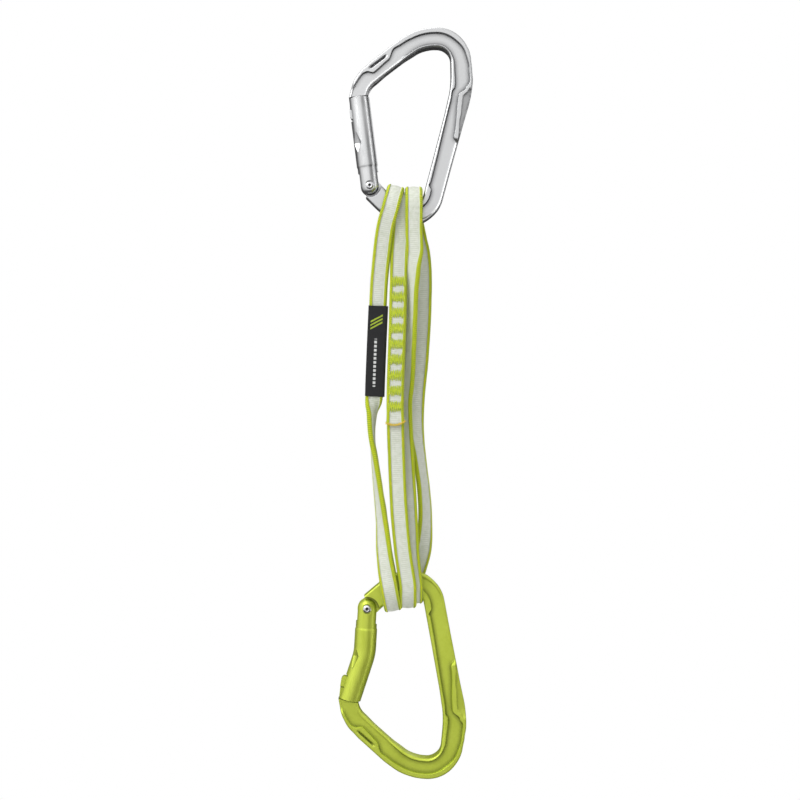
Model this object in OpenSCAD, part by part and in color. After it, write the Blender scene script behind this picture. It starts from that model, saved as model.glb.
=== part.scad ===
// Climbing quickdraw: two solid-gate carabiners joined by a tripled, bar-tacked webbing sling.
// Millimetres. It hangs as in use: +Z up, the carabiners lie in the XZ plane, +Y is the back.
// Origin: the hang point, on the inside of the upper carabiner's bow.

/* [Carabiner frame] */
// Width of the frame bar, measured in the plane of the carabiner
bar_w = 9.6; // [8.6:0.1:10.4]
// Thickness of the frame bar, front to back
bar_t = 8.6; // [8.2:0.1:9]
// Depth of the lightening pocket in each face
pocket_depth = 1.5; // [0.8:0.1:2]
// Width of the rim left on each side of the pocket
pocket_rim = 1.7; // [1.4:0.1:2.4]
// Size of the lower carabiner compared with the upper one
lower_size = 1.045; // [1:0.005:1.06]
// How far the lower carabiner leans, clockwise from the front, in degrees
lower_lean = 4.4; // [3:0.1:6]

/* [Gate] */
// Diameter of the gate rod
gate_d = 9.8; // [9.2:0.1:10]
// How far the gate leans out from the vertical, in degrees
gate_lean = 7.1; // [6.6:0.1:7.6]
// Distance from the hinge rivet to the end of the gate
gate_len = 41.4; // [41:0.1:41.8]
// Gap between the end of the gate and the nose
nose_gap = 0.4; // [0.3:0.1:0.6]
// Bend of the lower gate, in degrees
gate_bend = 15; // [8:1:18]
// Diameter of the hinge rivet
rivet_d = 3; // [2.8:0.1:3.2]

/* [Sling] */
// Width of the webbing
web_w = 8; // [7:0.1:8.4]
// Thickness of the webbing
web_t = 2; // [1.6:0.1:2.1]
// Height between the upper and the lower basket axes
sling_span = 172.7; // [172.5:0.1:173]
// Number of bar tacks in the splice
tack_count = 9; // [5:1:9]
// Distance between bar tacks
tack_pitch = 7.2; // [6.8:0.1:7.4]
// Length of the label sleeve
label_len = 42.5; // [36:0.5:43]

/* [Hidden] */
$fn = 48;

// ---- names -------------------------------------------------------------------------------

// ---- carabiner outline: corners of the bar's centreline and the radius of each bend ---------
rivet_at = [-29.8, -64.1];
bar_corners = [
    [-36, -24.4], [-33.7, -15.9], [-6.5, 4.8], [12.9, 4.8],
    [12.9, -19.4], [-2.65, -78.2], [-18.3, -76], [-28.6, -66.5]
];
bend_radii = [0, 13, 21, 11.5, 50, 10.7, 14, 0];
basket_axis = [-12, -76.2];

// ---- hinge and nose, along the line from the rivet to the nose -----------------------------
gate_r = gate_d / 2;
gate_travel = 28;
ear_r = 4.9;
ear_t = 8.4;
ear_len = 9;
tang_t = 3.6;
fork_gap = 4.2;
fork_depth = 6.3;
tang_flat = 3;
plunger_r = 1.27;
plunger_len = 3;
plunger_side = 1.5;
spring_bore_r = 1.35;
spring_bore_end = 21;
key_neck_t = 2.6;
key_head_t = 4.6;
key_head_top = 36;
key_head_low = 31.4;
key_inner = 2;
key_outer = 5.4;
key_gap = 0.4;
slot_low = key_head_low - 0.8;
rivet_gap = 0.06;
rivet_fit = 0.02;

// ---- bights --------------------------------------------------------------------------------
inner_r = 6.9;            // inside radius of the bights that lie on the bar
outer_r = 9.2;            // inside radius of the bights that lie over them
left_r = 10.4;            // inside radius of the left bights, where the bar slopes

function unit(v) = v / norm(v);
function left_of(v) = [-v[1], v[0]];
function turn_at(p, q, r) = let (u = unit(q - p), v = unit(r - q))
    atan2(u[0] * v[1] - u[1] * v[0], u * v);
function tangent_len(i) = (i == 0 || i == len(bar_corners) - 1) ? 0
    : bend_radii[i] * tan(abs(turn_at(bar_corners[i - 1], bar_corners[i], bar_corners[i + 1])) / 2);
function first_bend(bend) = bend * 0.55;
function angle_of(v) = atan2(v[1], v[0]);

// ---- frame bar: one tube along its centreline ----------------------------------------------
plain_bevel = 2.4;
beam_bevel = 1.3;
pocket_draft = 0.3;

// Half the bar's section has eight points, and the other half mirrors it. depth 0 has no pocket.
function half_section(bevel, depth) = let (
    a = bar_w / 2,
    b = bar_t / 2,
    q = depth > 0 ? a - pocket_rim : a - bevel - 0.4
) [[a, b - bevel], [a - bevel, b], [q, b], [q - pocket_draft, b - depth],
    [pocket_draft - q, b - depth], [-q, b], [bevel - a, b], [-a, b - bevel]];
function section_at(pocketed) = let (
    half = half_section(pocketed ? beam_bevel : plain_bevel, pocketed ? pocket_depth : 0)
) [each half, for (p = half) -p];

// A station on the centreline: [x, y, heading, pocketed].
function bend_stations(i, pocketed) = let (
    p = bar_corners[i - 1],
    q = bar_corners[i],
    phi = turn_at(p, q, bar_corners[i + 1]),
    from = q - unit(q - p) * tangent_len(i),
    side = left_of(unit(q - p)) * bend_radii[i],
    steps = ceil(abs(phi) / 8)
) [for (k = [0 : steps]) let (
        a = phi * k / steps,
        at = from - side + [side[0] * cos(a) - side[1] * sin(a), side[0] * sin(a) + side[1] * cos(a)]
    ) [at[0], at[1], angle_of(q - p) + a, pocketed]];
function straight_station(i, along, pocketed) = let (
    d = unit(bar_corners[i + 1] - bar_corners[i]),
    at = bar_corners[i] + d * along
) [at[0], at[1], angle_of(d), pocketed];

last_bar = len(bar_corners) - 2;
last_len = norm(bar_corners[last_bar + 1] - bar_corners[last_bar]);
stations = [
    straight_station(0, 0, false), each bend_stations(1, false),
    straight_station(1, 6.5, false), straight_station(1, 8, true),
    each bend_stations(2, true), each bend_stations(3, true), each bend_stations(4, true),
    straight_station(4, 44, true), straight_station(4, 46, false),
    each bend_stations(5, false), each bend_stations(6, false),
    straight_station(last_bar, last_len, false)
];

module bars() {
    tube_through([for (st = stations) [for (uv = section_at(st[3]))
        [st[0] - uv[0] * sin(st[2]), st[1] + uv[0] * cos(st[2]), uv[1]]]]);
}

// ---- carabiner pieces, drawn flat: X as hung, Y up, Z towards the viewer -------------------
// Puts its children in the gate's own axes: +Y runs from the rivet to the nose.
module at_gate() {
    translate([rivet_at[0], rivet_at[1], 0]) rotate(gate_lean) children();
}

module disc(r, t) {
    cylinder(r = r, h = t, center = true);
}

module block(x0, x1, y0, y1, t) {
    translate([x0, y0, -t / 2]) cube([x1 - x0, y1 - y0, t]);
}

// The nose's key: a neck and a wider head, which the gate's slot closes over.
module nose_key() {
    block(-key_outer, key_inner, key_head_low + 1, gate_len + 3, key_neck_t);
    block(-key_outer, key_inner, key_head_low, key_head_top, key_head_t);
}

// The tongue between the gate's ears. Its flat top is what the plunger presses on.
module hinge_tang() {
    intersection() {
        union() {
            disc(4.3, tang_t);
            rotate(180 + 36) block(-4.1, 4.1, 0, 8, tang_t);
        }
        block(-20, 20, -20, tang_flat, 20);
    }
}

module frame_flat() {
    difference() {
        union() {
            difference() {
                bars();
                at_gate() disc(ear_r + 0.5, 20);
                at_gate() rotate(-gate_travel - first_bend(gate_bend))
                    block(-gate_r - 0.35, gate_r + 0.35, 0, 14, 20);
                at_gate() intersection() {
                    disc(gate_len + nose_gap, 20);
                    block(-9, 9, 30, 50, 20);
                }
            }
            at_gate() nose_key();
            at_gate() hinge_tang();
        }
        at_gate() disc(rivet_d / 2 + rivet_gap, 20);
    }
}

// A gate's outside. The straight one is a plain rod, and the bent one is a tube round its bend.
module gate_rod(bend) {
    lift = 20;
    top = gate_len - lift + 6;
    steps = 6;
    bend_radius = 24;
    reach = bend_radius * tan(bend / 2);
    low = first_bend(bend);
    first = lift - reach;
    // A station is [x, y, how far the rod leans left].
    turning = [for (k = [0 : steps]) let (a = bend * k / steps)
        [bend_radius * (cos(a) - 1), first + bend_radius * sin(a), a]];
    end = [turning[steps][0] - top * sin(bend), turning[steps][1] + top * cos(bend), bend];
    if (bend == 0) rotate([-90, 0, 0]) cylinder(r = gate_r, h = gate_len + 6);
    else rotate(-low) tube_through([for (st = [[0, 0, 0], each turning, end])
        [for (a = [0 : 10 : 350]) let (right = gate_r * cos(a))
            [st[0] + right * cos(st[2]), st[1] + right * sin(st[2]), -gate_r * sin(a)]]]);
}

module gate_flat(bend) {
    difference() {
        union() {
            intersection() {
                gate_rod(bend);
                disc(gate_len, 20);
            }
            disc(ear_r, ear_t);
        }
        for (side = [-1, 1])
            translate([0, 0, side * (ear_t / 2 + 2)]) block(-9, 9, -9, ear_len, 4);
        block(-9, 9, -9, fork_depth, fork_gap);
        disc(rivet_d / 2 + rivet_fit, 20);
        translate([plunger_side, fork_depth - 1, 0])
            rotate([-90, 0, 0]) cylinder(r = spring_bore_r, h = spring_bore_end - fork_depth + 1);
        block(-9, key_inner + key_gap, slot_low, gate_len + 9, key_neck_t + 2 * key_gap);
        block(-9, key_inner + key_gap, slot_low, key_head_top + key_gap,
            key_head_t + 2 * key_gap);
    }
}

module rivet_flat() {
    disc(rivet_d / 2, ear_t + 0.2);
    for (side = [-1, 1]) translate([0, 0, side * (ear_t / 2 + 0.25)]) disc(2, 0.5);
}

module plunger_flat() {
    translate([plunger_side, tang_flat + plunger_r, 0]) {
        sphere(plunger_r);
        rotate([-90, 0, 0]) cylinder(r = plunger_r, h = plunger_len);
    }
}

// A coil of fine wire: rings of six points, in a tube that climbs along +Y.
module spring_flat() {
    wire = 0.2;
    coil = 0.98;
    turns = 9;
    per_turn = 12;
    low = tang_flat + plunger_r + plunger_len + wire;
    rise = spring_bore_end - wire - low;
    n = turns * per_turn;
    rings = [for (k = [0 : n]) let (a = 360 * k / per_turn) [for (s = [0 : 5])
        let (r = coil + wire * cos(60 * s))
            [r * cos(a), low + rise * k / n + wire * sin(60 * s), r * sin(a)]]];
    translate([plunger_side, 0, 0]) tube_through(rings);
}

// ---- tubes through rings of points ----------------------------------------------------------
module tube_through(rings) {
    m = len(rings[0]);
    n = len(rings);
    polyhedron(
        points = [for (ring = rings) each ring],
        faces = [
            [for (s = [0 : m - 1]) s],
            [for (s = [0 : m - 1]) (n - 1) * m + m - 1 - s],
            for (k = [0 : n - 2], s = [0 : m - 1]) let (a = k * m, b = a + m, e = (s + 1) % m)
                each [[a + s, b + s, b + e], [a + s, b + e, a + e]]
        ]
    );
}

function curve(a, b, c, d, t) = 0.5 * (2 * b + (c - a) * t + (2 * a - 5 * b + 4 * c - d) * t * t
    + (3 * b - a - 3 * c + d) * t * t * t);

// Points along a route, two to a stretch. Each is [x, y, z, twist].
function along(route, start_dir, end_dir) = let (
    n = len(route),
    first = [each (xyz(route[0]) - start_dir * 8), route[0][3]],
    last = [each (xyz(route[n - 1]) + end_dir * 8), route[n - 1][3]],
    all = [first, each route, last]
) [for (i = [1 : n - 1], t = [0, 0.5])
    each (t == 0 ? [route[i - 1]] : [set_twist(curve(all[i - 1], all[i], all[i + 1], all[i + 2], t),
        (route[i - 1][3] + route[i][3]) / 2)]), route[n - 1]];
function xyz(p) = [p[0], p[1], p[2]];
function set_twist(p, a) = [p[0], p[1], p[2], a];

// A webbing section: a flat band with its corners taken off.
function web_section(w, t) = let (a = w / 2, b = t / 2, c = min(0.5, b * 0.6))
    [[a, b - c], [a - c, b], [c - a, b], [-a, b - c], [-a, c - b], [c - a, -b], [a - c, -b], [a, c - b]];

function ring_at(p, dir, section) = let (
    side = unit([-dir[2], 0, dir[0]]),
    face = cross(dir, side),
    u = side * cos(p[3]) + face * sin(p[3]),
    v = cross(dir, u)
) [for (s = section) xyz(p) + u * s[0] + v * s[1]];

module webbing(route, start_dir, end_dir, w = web_w, t = web_t) {
    pts = along(route, start_dir, end_dir);
    n = len(pts);
    section = web_section(w, t);
    tube_through([for (k = [0 : n - 1]) ring_at(pts[k],
        k == 0 ? start_dir : k == n - 1 ? end_dir : unit(xyz(pts[k + 1]) - xyz(pts[k - 1])),
        section)]);
}

// ---- sling ------------------------------------------------------------------------------------
top_z = basket_axis[1];
low_z = top_z - sling_span;
inner_y = inner_r + web_t / 2;
outer_y = outer_r + web_t / 2;
left_y = left_r + web_t / 2;
under_y = inner_y - web_t - 0.12;      // the middle of the splice's lower layer
top_tilt = 14;
low_tilt = 10;
straight_down = [0, 0, -1];
down_left = [-sin(top_tilt), 0, -cos(top_tilt)];
down_right = [sin(low_tilt), 0, -cos(low_tilt)];

// Centres of the bights, in X and Z: left, middle, right.
top_bights = [[-20.3, top_z + 0.9], [-14.6, top_z + 0.6], [-9.4, top_z + 0.6]];
low_bights = [[-21.6, low_z - 1.3], [-11.2, low_z], [-10.4, low_z]];
function top_end(k, y) = [top_bights[k][0], y, top_bights[k][1], 0];
function low_end(k, y, twist = 0) = [low_bights[k][0], y, low_bights[k][1], twist];

// Half a turn of webbing over a basket bar. way is 1 over the upper bar, -1 under the lower.
module bight(at, r, tilt, way) {
    translate([at[0], 0, at[1]]) rotate([0, tilt, 0]) rotate([0, 90, 0]) rotate(way > 0 ? 90 : -90)
        rotate_extrude(angle = 180) polygon([for (s = web_section(web_t, web_w))
            [r + web_t / 2 + s[0], s[1]]]);
}

front_left_route = [
    top_end(0, -left_y), [-22.6, -10.4, -84, 0], [-24, -9.2, -94, 0], [-25.4, -7.5, -108, 0],
    [-26.2, -6.3, -124, 0], [-26.9, -6.1, -140, 0], [-27.5, -6.1, -155, 0], [-27.8, -6.1, -162.6, -2],
    [-28.7, -6, -169, -62], [-28.9, -5.9, -179, -80], [-27.6, -5.9, -191, -100],
    [-25.8, -6.4, -206, -112], [-24.2, -7.2, -220, -125], [-23, -9.2, -235, -150],
    low_end(0, -left_y, -180)
];
front_tail_route = [
    top_end(1, -inner_y), [-15.4, -inner_y, -86, 0], [-16.2, -inner_y, -97, 0],
    [-16.6, -inner_y, -112, 0], [-17, -inner_y, -130, 0], [-17.7, -inner_y, -150, 0],
    [-18, -inner_y, -165, 0], [-17.9, -inner_y, -174.3, 0]
];
back_tail_route = [
    [-15.9, -under_y, -104, 0], [-16.6, -under_y, -120, 0], [-17.5, -under_y, -145, 0],
    [-18, -under_y, -165, 0], [-17.9, -under_y, -171, 0], [-17.8, -under_y, -178, 0], [-17.4, -5.8, -190, 0],
    [-16.6, -7, -205, 0], [-15.3, -8.2, -219, 0], [-13.2, -9.4, -234, 0], low_end(1, -outer_y)
];
front_right_route = [
    top_end(2, -outer_y), [-9, -10.4, -86, 0], [-8, -10.5, -94, 10], [-8, -9.5, -102, 45],
    [-8.4, -7.8, -112, 60],
    [-8.8, -5.6, -125, 60], [-9.8, -3, -140, 60], [-12, -0.4, -155, 50], [-13.4, 0.2, -165, 40],
    [-13.4, 0.2, -180, 25], [-12.8, -0.8, -195, 12], [-12, -2.4, -210, 0],
    [-11.3, -4, -223, 0], [-10.7, -5.8, -236, 0], low_end(2, -inner_y)
];
back_left_route = [
    top_end(0, left_y), [-22.6, 10.2, -84, 0], [-24, 9, -94, 0], [-25.4, 7.8, -108, 0],
    [-26.2, 6.8, -124, 0], [-26.7, 6.4, -140, -10], [-27.8, 6.2, -155, -40], [-28.9, 6.2, -168, -75],
    [-28.9, 6.2, -178, -85], [-27.6, 6.2, -191, -100], [-25.8, 6.6, -206, -112],
    [-24.2, 7.4, -220, -125], [-23, 9.2, -235, -150], low_end(0, left_y, -180)
];
back_middle_route = [
    top_end(1, inner_y), [-15.4, inner_y, -86, 0], [-16.2, inner_y, -97, 0], [-16.6, 6.8, -112, 0],
    [-17, 6.3, -130, 0], [-17.8, 6.2, -150, 0], [-18.1, 6.2, -168, 0], [-17.6, 6.4, -187, 0],
    [-16.4, 7.4, -207, 0], [-13.6, 9, -232, 0], low_end(1, outer_y)
];
back_right_route = [
    top_end(2, outer_y), [-7.4, 10.1, -86, 0], [-5.4, 9.4, -96, 0], [-4.8, 8, -108, 0],
    [-5.2, 6.8, -125, 0], [-6.5, 6, -145, 0], [-8.2, 5.4, -163, -10], [-8.2, 5, -178, -30],
    [-7.2, 4.8, -191, -45], [-5.8, 5, -205, -50], [-5.2, 5.4, -219, -40], [-6.2, 6, -234, -15],
    low_end(2, inner_y)
];

// The part of the left strand that the label wraps, and a little more for the cut inside it.
label_top = -119.4;
function label_point(f, x_shift) = [-26.05 - 1.75 * f + x_shift, -6.1, label_top - label_len * f, 0];
label_route = [for (k = [0 : 4]) label_point(k / 4, 0)];
label_cut_route = [for (k = [0 : 4]) label_point(k / 4 * 1.1 - 0.05, -0.6)];

module tack_row(y) {
    first = -108.8;
    for (k = [0 : tack_count - 1])
        translate([-16.2 - 0.3 * k + 0.009 * k * k, y, first - tack_pitch * k])
            cube([5.6, 0.3, 3.8], center = true);
}

// ---- placing ----------------------------------------------------------------------------------
module hang_upper() {
    rotate([90, 0, 0]) children();
}

// The lower carabiner is the upper one turned over about X, a little larger and leaning.
module hang_lower() {
    lower_rivet_at = [-31, 0, -260.1];
    translate(lower_rivet_at) rotate([0, lower_lean, 0]) scale(lower_size) rotate([180, 0, 0])
        translate([-rivet_at[0], 0, -rivet_at[1]]) rotate([90, 0, 0]) children();
}

// ---- nodes --------------------------------------------------------------------------------------
module upper_frame() {
    color("silver") hang_upper() frame_flat();
}

module upper_gate() {
    color("gainsboro") hang_upper() at_gate() gate_flat(0);
}

module upper_rivet() {
    color("lightgray") hang_upper() at_gate() rivet_flat();
}

module upper_gate_spring() {
    color("gray") hang_upper() at_gate() spring_flat();
}

module upper_plunger() {
    color("darkgray") hang_upper() at_gate() plunger_flat();
}

module lower_frame() {
    color("yellowgreen") hang_lower() frame_flat();
}

module lower_gate() {
    color("greenyellow") hang_lower() at_gate() gate_flat(gate_bend);
}

module lower_rivet() {
    color("lightgray") hang_lower() at_gate() rivet_flat();
}

module lower_gate_spring() {
    color("gray") hang_lower() at_gate() spring_flat();
}

module lower_plunger() {
    color("darkgray") hang_lower() at_gate() plunger_flat();
}

module upper_bight_left() {
    color("honeydew") bight(top_bights[0], left_r, top_tilt, 1);
}

module upper_bight_middle() {
    color("honeydew") bight(top_bights[1], inner_r, 0, 1);
}

module upper_bight_right() {
    color("honeydew") bight(top_bights[2], outer_r, 0, 1);
}

module lower_bight_left() {
    color("honeydew") bight(low_bights[0], left_r, -low_tilt, -1);
}

module lower_bight_middle() {
    color("honeydew") bight(low_bights[1], outer_r, 0, -1);
}

module lower_bight_right() {
    color("honeydew") bight(low_bights[2], inner_r, 0, -1);
}

module front_strand_left() {
    color("honeydew") webbing(front_left_route, down_left, down_right);
}

module splice_front_tail() {
    color("honeydew") webbing(front_tail_route, straight_down, straight_down);
}

module splice_back_tail() {
    color("honeydew") webbing(back_tail_route, straight_down, straight_down);
}

module front_strand_right() {
    color("honeydew") webbing(front_right_route, straight_down, straight_down);
}

module back_strand_left() {
    color("honeydew") webbing(back_left_route, down_left, down_right);
}

module back_strand_middle() {
    color("honeydew") webbing(back_middle_route, straight_down, straight_down);
}

module back_strand_right() {
    color("honeydew") webbing(back_right_route, straight_down, straight_down);
}

module bar_tacks() {
    color("yellowgreen") {
        tack_row(-inner_y - web_t / 2 - 0.15);
        tack_row(-under_y + web_t / 2 + 0.15);
    }
}

module label_sleeve() {
    color("black") difference() {
        webbing(label_route, straight_down, straight_down, web_w + 1.6, web_t + 1.8);
        webbing(label_cut_route, straight_down, straight_down, web_w + 1.8, web_t + 1.1);
    }
}

upper_frame();
upper_gate();
upper_rivet();
upper_gate_spring();
upper_plunger();
lower_frame();
lower_gate();
lower_rivet();
lower_gate_spring();
lower_plunger();
upper_bight_left();
upper_bight_middle();
upper_bight_right();
lower_bight_left();
lower_bight_middle();
lower_bight_right();
front_strand_left();
splice_front_tail();
splice_back_tail();
front_strand_right();
back_strand_left();
back_strand_middle();
back_strand_right();
bar_tacks();
label_sleeve();
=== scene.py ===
"""Climbing quickdraw: detailed meshes, materials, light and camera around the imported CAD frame."""

import math

import bpy
import numpy as np
from mathutils import Matrix, Vector


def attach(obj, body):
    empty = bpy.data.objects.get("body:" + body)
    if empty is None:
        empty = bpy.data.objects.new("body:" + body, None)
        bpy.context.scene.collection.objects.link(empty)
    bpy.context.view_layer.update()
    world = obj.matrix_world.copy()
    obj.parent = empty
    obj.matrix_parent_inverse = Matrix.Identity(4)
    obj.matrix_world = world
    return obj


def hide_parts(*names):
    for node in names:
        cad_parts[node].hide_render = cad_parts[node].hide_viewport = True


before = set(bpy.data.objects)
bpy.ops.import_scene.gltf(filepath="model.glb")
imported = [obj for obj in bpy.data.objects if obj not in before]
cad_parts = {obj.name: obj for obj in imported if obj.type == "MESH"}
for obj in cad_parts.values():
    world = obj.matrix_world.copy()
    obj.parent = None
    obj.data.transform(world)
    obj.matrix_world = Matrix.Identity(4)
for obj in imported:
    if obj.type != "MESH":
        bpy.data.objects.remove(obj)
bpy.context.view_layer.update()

MM = 0.001
THROUGH = 10     # half the length of a tool that cuts right through a carabiner


# ---- small tools ---------------------------------------------------------------------------
def vec(*values):
    return np.array(values, float)


def unit(v):
    return v / np.linalg.norm(v)


def ease(t):
    return t * t * (3 - 2 * t)


def smooth_step(x, low, high):
    return ease(np.clip((x - low) / (high - low), 0, 1))


def table(points):
    """A smooth curve through (position, value) pairs."""
    xs, ys = zip(*points)

    def at(x):
        x = np.clip(x, xs[0], xs[-1])
        i = int(np.clip(np.searchsorted(xs, x) - 1, 0, len(xs) - 2))
        t = ease((x - xs[i]) / (xs[i + 1] - xs[i]))
        return ys[i] * (1 - t) + ys[i + 1] * t

    return at


def mesh_object(name, points, faces, scale=MM, uv=None):
    """A smooth-shaded mesh object. points are in millimetres, and uv is one pair for each point."""
    mesh = bpy.data.meshes.new(name)
    mesh.from_pydata([tuple(p) for p in np.asarray(points, float) * scale], [], faces)
    if uv is not None:
        layer = mesh.uv_layers.new(name="Cloth")
        corner = np.empty(len(mesh.loops), np.int32)
        mesh.loops.foreach_get("vertex_index", corner)
        layer.data.foreach_set("uv", np.asarray(uv, np.float32)[corner].ravel())
    mesh.polygons.foreach_set("use_smooth", [True] * len(mesh.polygons))
    mesh.update()
    obj = bpy.data.objects.new(name, mesh)
    bpy.context.collection.objects.link(obj)
    return obj


def grid_faces(rings, sides, closed=False, caps=True):
    """Quads over rings of points, with end caps unless the rings close on themselves."""
    faces = []
    for k in range(rings if closed else rings - 1):
        a, b = k * sides, ((k + 1) % rings) * sides
        faces += [(a + s, a + (s + 1) % sides, b + (s + 1) % sides, b + s) for s in range(sides)]
    if caps and not closed:
        faces.append(tuple(range(sides - 1, -1, -1)))
        faces.append(tuple((rings - 1) * sides + s for s in range(sides)))
    return faces


def box_tool(x0, x1, y0, y1, t0, t1):
    points = [(x, y, z) for z in (t0, t1) for y in (y0, y1) for x in (x0, x1)]
    faces = [(0, 2, 3, 1), (4, 5, 7, 6), (0, 1, 5, 4), (2, 6, 7, 3), (0, 4, 6, 2), (1, 3, 7, 5)]
    return mesh_object("tool", points, faces, 1)


def prism_tool(outline, t0, t1):
    """An outline of (x, y) points, anticlockwise, from t0 to t1 in thickness."""
    n = len(outline)
    points = [(x, y, t) for t in (t0, t1) for x, y in outline]
    return mesh_object("tool", points, grid_faces(2, n), 1)


def lathe(profile, sides=96, name="tool", scale=1):
    """(radius, height) pairs turned about the thickness axis. The first and last lie on the axis."""
    rings = []
    for r, h in profile[1:-1]:
        for a in np.linspace(0, 2 * math.pi, sides, endpoint=False):
            rings.append((r * math.cos(a), r * math.sin(a), h))
    faces = grid_faces(len(profile) - 2, sides, caps=False)
    low, high = len(rings), len(rings) + 1
    last = (len(profile) - 3) * sides
    faces += [(low, (s + 1) % sides, s) for s in range(sides)]
    faces += [(high, last + s, last + (s + 1) % sides) for s in range(sides)]
    return mesh_object(name, rings + [(0, 0, profile[0][1]), (0, 0, profile[-1][1])], faces, scale)


def disc_tool(radius, t0, t1, sides=48):
    """A plain round tool about the thickness axis."""
    return lathe([(0, t0), (radius, t0), (radius, t1), (0, t1)], sides)


def bar_tool(radius, y0, y1, x=0.0, sides=48):
    """A round bar along +Y."""
    points = []
    for y in (y0, y1):
        for a in np.linspace(0, 2 * math.pi, sides, endpoint=False):
            points.append((x + radius * math.cos(a), y, -radius * math.sin(a)))
    return mesh_object("tool", points, grid_faces(2, sides), 1)


def turn_tool(obj, degrees):
    obj.data.transform(Matrix.Rotation(math.radians(degrees), 4, "Z"))
    return obj


def combine(obj, tool, operation):
    """Applies one exact boolean to obj's mesh and deletes the tool."""
    modifier = obj.modifiers.new("cut", "BOOLEAN")
    modifier.operation = operation
    modifier.object = tool
    modifier.solver = "EXACT"
    apply_modifiers(obj)
    bpy.data.objects.remove(tool, do_unlink=True)
    return obj


def apply_modifiers(obj):
    graph = bpy.context.evaluated_depsgraph_get()
    graph.update()
    mesh = bpy.data.meshes.new_from_object(obj.evaluated_get(graph))
    obj.modifiers.clear()
    obj.data = mesh


def finish_metal(obj, place, degrees=38):
    """Puts a flat-drawn piece in its place, in metres, and shades its hard edges sharp."""
    obj.data.transform(place)
    obj.data.polygons.foreach_set("use_smooth", [True] * len(obj.data.polygons))
    obj.data.set_sharp_from_angle(angle=math.radians(degrees))
    obj.data.update()
    return obj


# ---- carabiner shape, as in the CAD: a flat drawing, X as hung, Y up, Z towards the viewer ----
RIVET = vec(-29.8, -64.1)
CORNERS = [(-36, -24.4), (-33.7, -15.9), (-6.5, 4.8), (12.9, 4.8), (12.9, -19.4), (-2.65, -78.2),
           (-18.3, -76), (-28.6, -66.5)]
RADII = [0, 13, 21, 11.5, 50, 10.7, 14, 0]
GATE_LEAN = 7.1
GATE_R = 4.9
GATE_LEN = 41.4
GATE_BEND = 15
FIRST_BEND = GATE_BEND * 0.55
GATE_TRAVEL = 28
NOSE_GAP = 0.4
EAR_R = 4.9
EAR_HALF = 4.2
HALF_T = 4.3
TANG_R = 4.3
TANG_HALF = 1.8
FRAME_HOLE_R = 1.56
GATE_HOLE_R = 1.52
KEY = {"neck": 1.3, "head": 2.3, "low": 31.4, "top": 36.0, "outer": -5.05, "inner": 2.0}

HANG_UPPER = Matrix.Scale(MM, 4) @ Matrix.Rotation(math.radians(90), 4, "X")
LOWER_SIZE = 1.045
LOWER_LEAN = 4.4
HANG_LOWER = (
    Matrix.Scale(MM, 4)
    @ Matrix.Translation((-31, 0, -260.1))
    @ Matrix.Rotation(math.radians(LOWER_LEAN), 4, "Y")
    @ Matrix.Scale(LOWER_SIZE, 4)
    @ Matrix.Rotation(math.radians(180), 4, "X")
    @ Matrix.Translation((-RIVET[0], 0, -RIVET[1]))
    @ Matrix.Rotation(math.radians(90), 4, "X")
)
AT_GATE = Matrix.Translation((RIVET[0], RIVET[1], 0)) @ Matrix.Rotation(math.radians(GATE_LEAN), 4, "Z")


def centreline(step=0.4):
    """Stations along the frame bar: (distance, x, y, heading). Positive offsets lie left of it, outside."""
    corners = [vec(*c) for c in CORNERS]
    stations, s, start = [], 0.0, corners[0]
    for i in range(1, len(corners)):
        d = unit(corners[i] - corners[i - 1])
        if i < len(corners) - 1:
            e = unit(corners[i + 1] - corners[i])
            turn = math.atan2(d[0] * e[1] - d[1] * e[0], d @ e)
            reach = RADII[i] * math.tan(abs(turn) / 2)
        else:
            turn, reach = 0.0, 0.0
        end = corners[i] - d * reach
        length = np.linalg.norm(end - start)
        heading = math.atan2(d[1], d[0])
        for t in np.arange(0, length, step):
            stations.append((s + t, *(start + d * t), heading))
        s += length
        arc = RADII[i] * abs(turn)
        count = max(1, round(arc / step)) if arc else 0
        side = vec(-d[1], d[0]) * RADII[i]
        for k in range(count):
            a = turn * k / count
            rot = vec(side[0] * math.cos(a) - side[1] * math.sin(a),
                      side[0] * math.sin(a) + side[1] * math.cos(a))
            stations.append((s + arc * k / count, *(end - side + rot), heading + a))
        s += arc
        start = corners[i] + (unit(corners[i + 1] - corners[i]) * reach if i < len(corners) - 1 else 0)
    stations.append((s, *corners[-1], heading))
    return stations


# Offsets from the centreline, by distance from the nose: the bar's two sides and its pocket's two sides.
outer_side = table([(0, 3.6), (8, 3.7), (13, 4.2), (18, 4.6), (32, 4.7), (38, 4.3), (45, 4.1), (55, 4.1),
                    (62, 4.0), (67, 4.2), (72, 4.7), (77, 5.1), (84, 5.05), (98, 4.75), (120, 4.55),
                    (132, 4.5), (138, 4.6), (143, 5.0), (150, 4.9), (160, 4.6), (168, 4.4)])
inner_side = table([(0, 4.6), (13, 4.7), (20, 4.3), (30, 4.3), (37, 4.7), (46, 4.9), (60, 5.1), (68, 5.3),
                    (74, 5.2), (86, 5.1), (96, 4.8), (118, 4.7), (132, 4.7), (140, 4.3), (162, 4.3),
                    (168, 4.5)])
pocket_outer = table([(0, 2.7), (4.5, 2.6), (8, 2.3), (11.5, 2.4), (13, 1.9), (15.6, -0.4), (24.2, 0.2),
                      (29.7, 2.8), (34, 2.3), (40, 1.8), (50, 1.7), (58, 1.5), (65, 2.2), (71, 3.3),
                      (77.5, 3.6), (80, 2.2), (83.6, -0.7), (103.2, 2.0), (105.4, 3.7), (168, 3.5)])
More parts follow.
